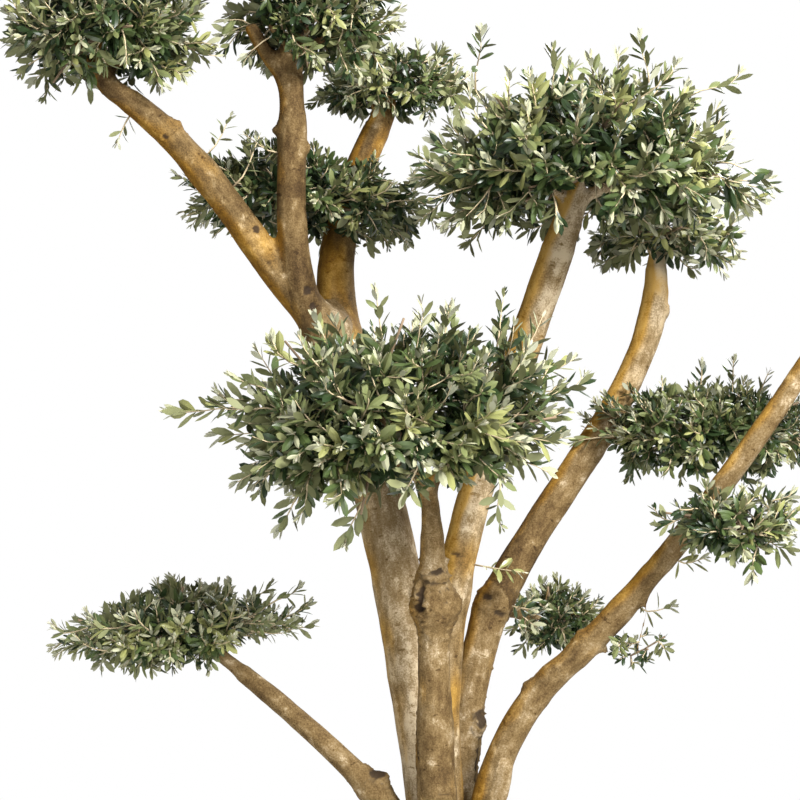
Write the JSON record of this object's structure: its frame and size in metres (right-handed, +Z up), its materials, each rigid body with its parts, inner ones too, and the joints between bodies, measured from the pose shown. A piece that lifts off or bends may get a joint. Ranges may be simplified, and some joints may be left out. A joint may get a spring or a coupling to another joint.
{
  "type": "cloud-pruned olive tree",
  "caption": "Cloud-pruned olive tree rooted in the ground: a short flared trunk, bare stems and boughs that fan out of its fork, and clipped clouds of small grey-green leaves at their ends.",
  "frame": {"origin": "middle of the flat cut under the trunk, at ground level", "axes": "+Z up the trunk, +X to the right and -Y towards the viewer of the picture's front view"},
  "size_m": [1.993, 1.0526, 2.5306],
  "materials": {
    "bark": "rough grey-brown bark with ochre stains",
    "leaf": "satin grey-green above, silvery below"
  },
  "bodies": {
    "root": {"trunk": "bark", "stem_left": "bark", "stem_front": "bark", "stem_middle": "bark", "stem_right_back": "bark", "stem_right": "bark", "bough_upper_left": "bark", "bough_upper_middle": "bark", "bough_upper_fork": "bark", "bough_back": "bark", "bough_right_back": "bark", "bough_right": "bark", "bough_low_left": "bark", "bough_right_side": "bark", "bough_right_low": "bark", "bough_low_back": "bark", "cut_stub": "bark", "leaves_upper_left": "leaf", "leaves_upper_middle": "leaf", "leaves_back_low": "leaf", "leaves_back_high": "leaf", "leaves_front": "leaf", "leaves_upper_right": "leaf", "leaves_right_back": "leaf", "leaves_right": "leaf", "leaves_far_right": "leaf", "leaves_right_low": "leaf", "leaves_low_back": "leaf", "leaves_low_left": "leaf", "sprout_right": "leaf"}
  },
  "joints": []
}
